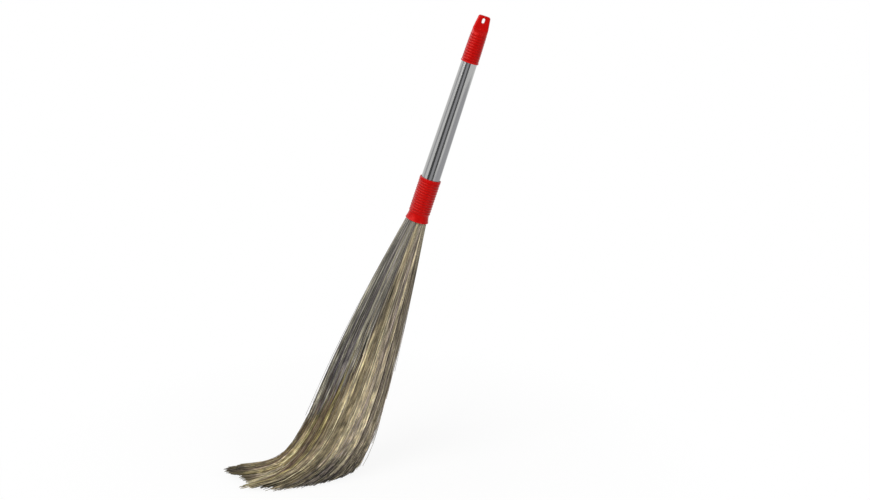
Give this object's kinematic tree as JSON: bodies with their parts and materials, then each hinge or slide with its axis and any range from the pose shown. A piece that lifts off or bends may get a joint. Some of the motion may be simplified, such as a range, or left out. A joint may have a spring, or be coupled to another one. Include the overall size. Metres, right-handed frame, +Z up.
{
  "type": "soft grass broom",
  "caption": "Short-handled soft floor broom: a fan of long natural grass in a ribbed collar, with a tapered polished tube handle and a slotted hang cap.",
  "frame": {"origin": "middle of the bounding box at the floor that the grass tips stand on", "axes": "+Z up from the floor; the handle leans 18.1 degrees from +Z towards +X, and the grass sweeps towards -X; -Y is the side the picture shows"},
  "size_m": [0.5176, 0.1488, 0.9394],
  "materials": {
    "red_plastic": "moulded, semi-gloss",
    "polished_steel": "polished stainless steel, drawn lengthwise",
    "galvanised_wire": "dull zinc",
    "grass_straw": "dry straw, matte",
    "grass_grey": "dry grey-brown grass, matte"
  },
  "bodies": {
    "root": {"hang_cap": "red_plastic", "collar": "red_plastic", "handle_tube": "polished_steel", "binding_wire": "galvanised_wire", "grass_hank_left": "grass_grey", "grass_hank_tuft": "grass_straw", "grass_hank_front": "grass_straw", "grass_hank_core": "grass_straw", "grass_hank_right": "grass_straw", "grass_hank_back": "grass_grey"}
  },
  "joints": []
}
